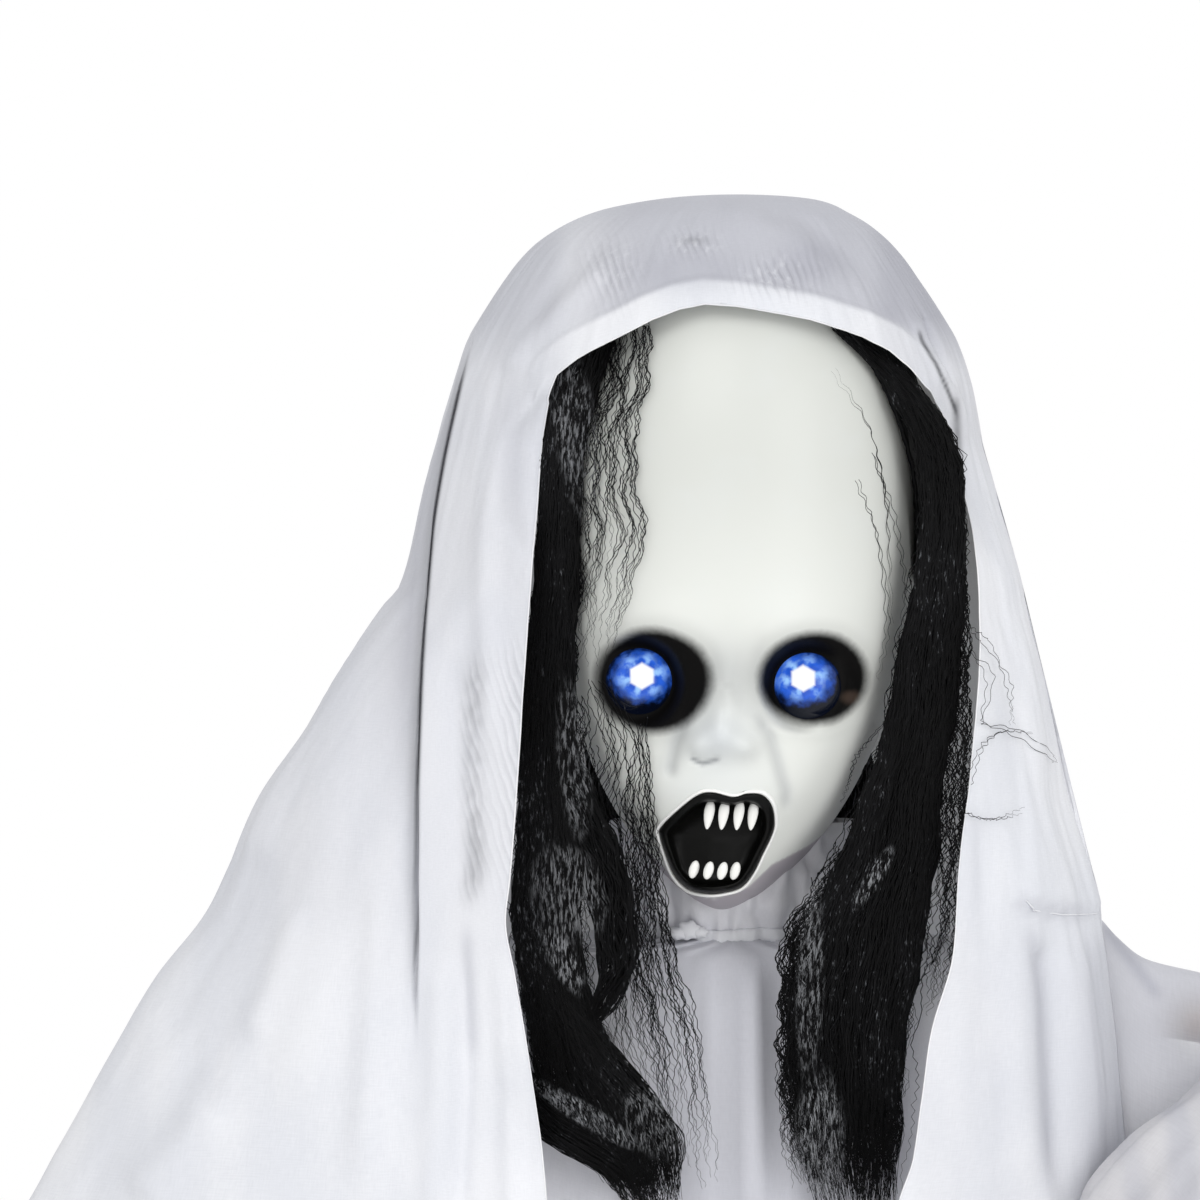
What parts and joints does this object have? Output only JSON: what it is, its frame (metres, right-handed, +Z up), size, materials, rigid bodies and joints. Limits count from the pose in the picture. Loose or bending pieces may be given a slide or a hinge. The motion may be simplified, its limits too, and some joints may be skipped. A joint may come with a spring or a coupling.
{
  "type": "hanging ghost decoration",
  "caption": "Hanging ghost figure with a glossy doll mask, lit blue eyes, an open fanged mouth, long black hair, a gauze veil and dress, and posable arms.",
  "frame": {"origin": "middle of the hanging eye on the back of the crown, where the figure is hung", "axes": "+Z up, the face looks along -Y, +X is to the right of somebody who looks at the face"},
  "size_m": [0.5125, 0.2049, 0.9035],
  "materials": {
    "mask": "smooth white, airbrushed black round the eyes",
    "shell": "satin moulded",
    "lens": "clear blue, lit from behind",
    "led": "clear, lit",
    "black_gloss": "gloss black",
    "tooth": "gloss white",
    "hair": "synthetic fibre, glossy black",
    "gauze": "sheer woven gauze, white",
    "ribbon": "narrow woven tie",
    "foam": "soft open-cell foam, tan",
    "claw": "bone white with darkened joints",
    "plastic": "satin black moulding",
    "steel": "bright zinc plated",
    "board": "green lacquer",
    "cone": "matt black card cone",
    "cell": "plain printed sleeve"
  },
  "bodies": {
    "figure": {"dress": "gauze", "face_mask": "mask", "hood": "gauze", "rear_head_shell": "shell", "hair_cap": "hair", "veil_fall_back": "gauze", "lower_teeth": "tooth", "hang_bracket": "steel", "upper_teeth": "tooth", "shoulder_crossbar": "plastic", "neck_ribbon": "ribbon", "mouth_liner": "black_gloss", "hair_lock_left": "hair", "neck_tube": "plastic", "veil_drape_left": "gauze", "eye_dome_left": "lens", "eye_dome_right": "lens", "sound_box_case": "plastic", "hair_lock_right": "hair", "hair_back": "hair", "veil_front_left": "gauze", "eye_cup_left": "black_gloss", "eye_cup_right": "black_gloss", "battery_contacts_left": "steel", "battery_contacts_right": "steel", "led_left": "led", "led_right": "led", "speaker": "cone", "shoulder_pin_left": "steel", "shoulder_pin_right": "steel", "hang_screw_2": "steel", "battery_1": "cell", "battery_2": "cell", "battery_3": "cell", "hang_screw_1": "steel", "head_screw_1": "steel", "head_screw_2": "steel", "head_screw_3": "steel", "head_screw_4": "steel", "circuit_board": "board", "sound_box_cover": "plastic", "battery_tray": "plastic"},
    "ring": {"hang_ring": "steel"},
    "left_upper_arm": {"upper_arm_left": "plastic", "arm_foam_left": "foam", "sleeve_left": "gauze", "elbow_pin_left": "steel"},
    "left_forearm": {"forearm_left": "plastic", "hand_left": "claw", "cuff_left": "gauze"},
    "right_upper_arm": {"upper_arm_right": "plastic", "arm_foam_right": "foam", "sleeve_right": "gauze", "elbow_pin_right": "steel"},
    "right_forearm": {"forearm_right": "plastic", "hand_right": "claw", "cuff_right": "gauze"},
    "battery_cover": {"battery_door": "plastic"},
    "switch": {"power_switch_knob": "black_gloss"}
  },
  "joints": [
    {"name": "hang_ring_pivot", "type": "hinge", "parent": "figure", "child": "ring", "pos_m": [0, 0, 0], "axis": [1, 0, 0], "range_deg": [0, 110]},
    {"name": "left_shoulder", "type": "hinge", "parent": "figure", "child": "left_upper_arm", "pos_m": [-0.118, -0.01, -0.284], "axis": [0, 1, 0], "range_deg": [-12, 25], "deforming": ["veil_drape_left", "sleeve_left"]},
    {"name": "left_elbow", "type": "hinge", "parent": "left_upper_arm", "child": "left_forearm", "pos_m": [-0.188, -0.014, -0.306], "axis": [-0.0097, -0.9779, 0.2087], "range_deg": [-10, 20], "deforming": ["veil_drape_left", "sleeve_left"]},
    {"name": "right_shoulder", "type": "hinge", "parent": "figure", "child": "right_upper_arm", "pos_m": [0.118, -0.01, -0.284], "axis": [0, -1, 0], "range_deg": [-15, 25], "deforming": ["sleeve_right"]},
    {"name": "right_elbow", "type": "hinge", "parent": "right_upper_arm", "child": "right_forearm", "pos_m": [0.203, -0.022, -0.297], "axis": [0.0402, -0.5895, 0.8068], "range_deg": [-5, 45], "deforming": ["sleeve_right"]},
    {"name": "battery_door_hinge", "type": "hinge", "parent": "figure", "child": "battery_cover", "pos_m": [0, 0.0066, -0.3542], "axis": [-1, 0, 0], "range_deg": [0, 100]},
    {"name": "power_switch_slide", "type": "slide", "parent": "figure", "child": "switch", "axis": [1, 0, 0], "range_m": [0, 0.006]}
  ]
}
